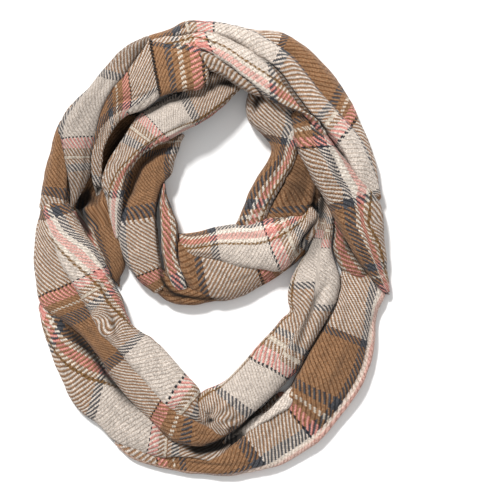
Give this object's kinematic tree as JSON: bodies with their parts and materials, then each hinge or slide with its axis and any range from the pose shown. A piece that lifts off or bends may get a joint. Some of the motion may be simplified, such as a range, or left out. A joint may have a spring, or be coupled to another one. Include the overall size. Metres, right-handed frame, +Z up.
{
  "type": "infinity scarf",
  "caption": "Plaid infinity scarf laid flat, its closed loop wound twice: a large ring that crosses under itself and goes on as a small inner ring around the neck hole.",
  "frame": {"origin": "on the surface that the scarf lies on, under the middle of the heap's bounding box", "axes": "+Z up from the surface; +Y towards the top of the large ring, where the joining seam and the crossing are; +X to the right as seen from above"},
  "size_m": [0.3562, 0.4556, 0.0502],
  "materials": {
    "plaid_cloth": "brushed twill in a plaid of beige, camel brown, slate, coral and cream"
  },
  "bodies": {
    "root": {"outer_left_front": "plaid_cloth", "outer_top_crest": "plaid_cloth", "outer_top_inner_fold": "plaid_cloth", "outer_seam_left": "plaid_cloth", "outer_seam_right": "plaid_cloth", "outer_top_roll": "plaid_cloth", "outer_right_arm": "plaid_cloth", "outer_left_edge": "plaid_cloth", "inner_left_strand": "plaid_cloth", "outer_right_inner": "plaid_cloth", "outer_left_inner": "plaid_cloth", "inner_left_roll": "plaid_cloth", "inner_front": "plaid_cloth", "inner_right_strand": "plaid_cloth", "inner_left_side": "plaid_cloth", "inner_right_side": "plaid_cloth", "inner_front_under": "plaid_cloth", "inner_bottom_edge": "plaid_cloth", "outer_left_middle": "plaid_cloth", "outer_left_lower": "plaid_cloth", "outer_right_tuck": "plaid_cloth", "outer_left_bottom": "plaid_cloth", "outer_right_under": "plaid_cloth", "outer_right_lower": "plaid_cloth", "outer_top_outer_fold": "plaid_cloth"}
  },
  "joints": []
}
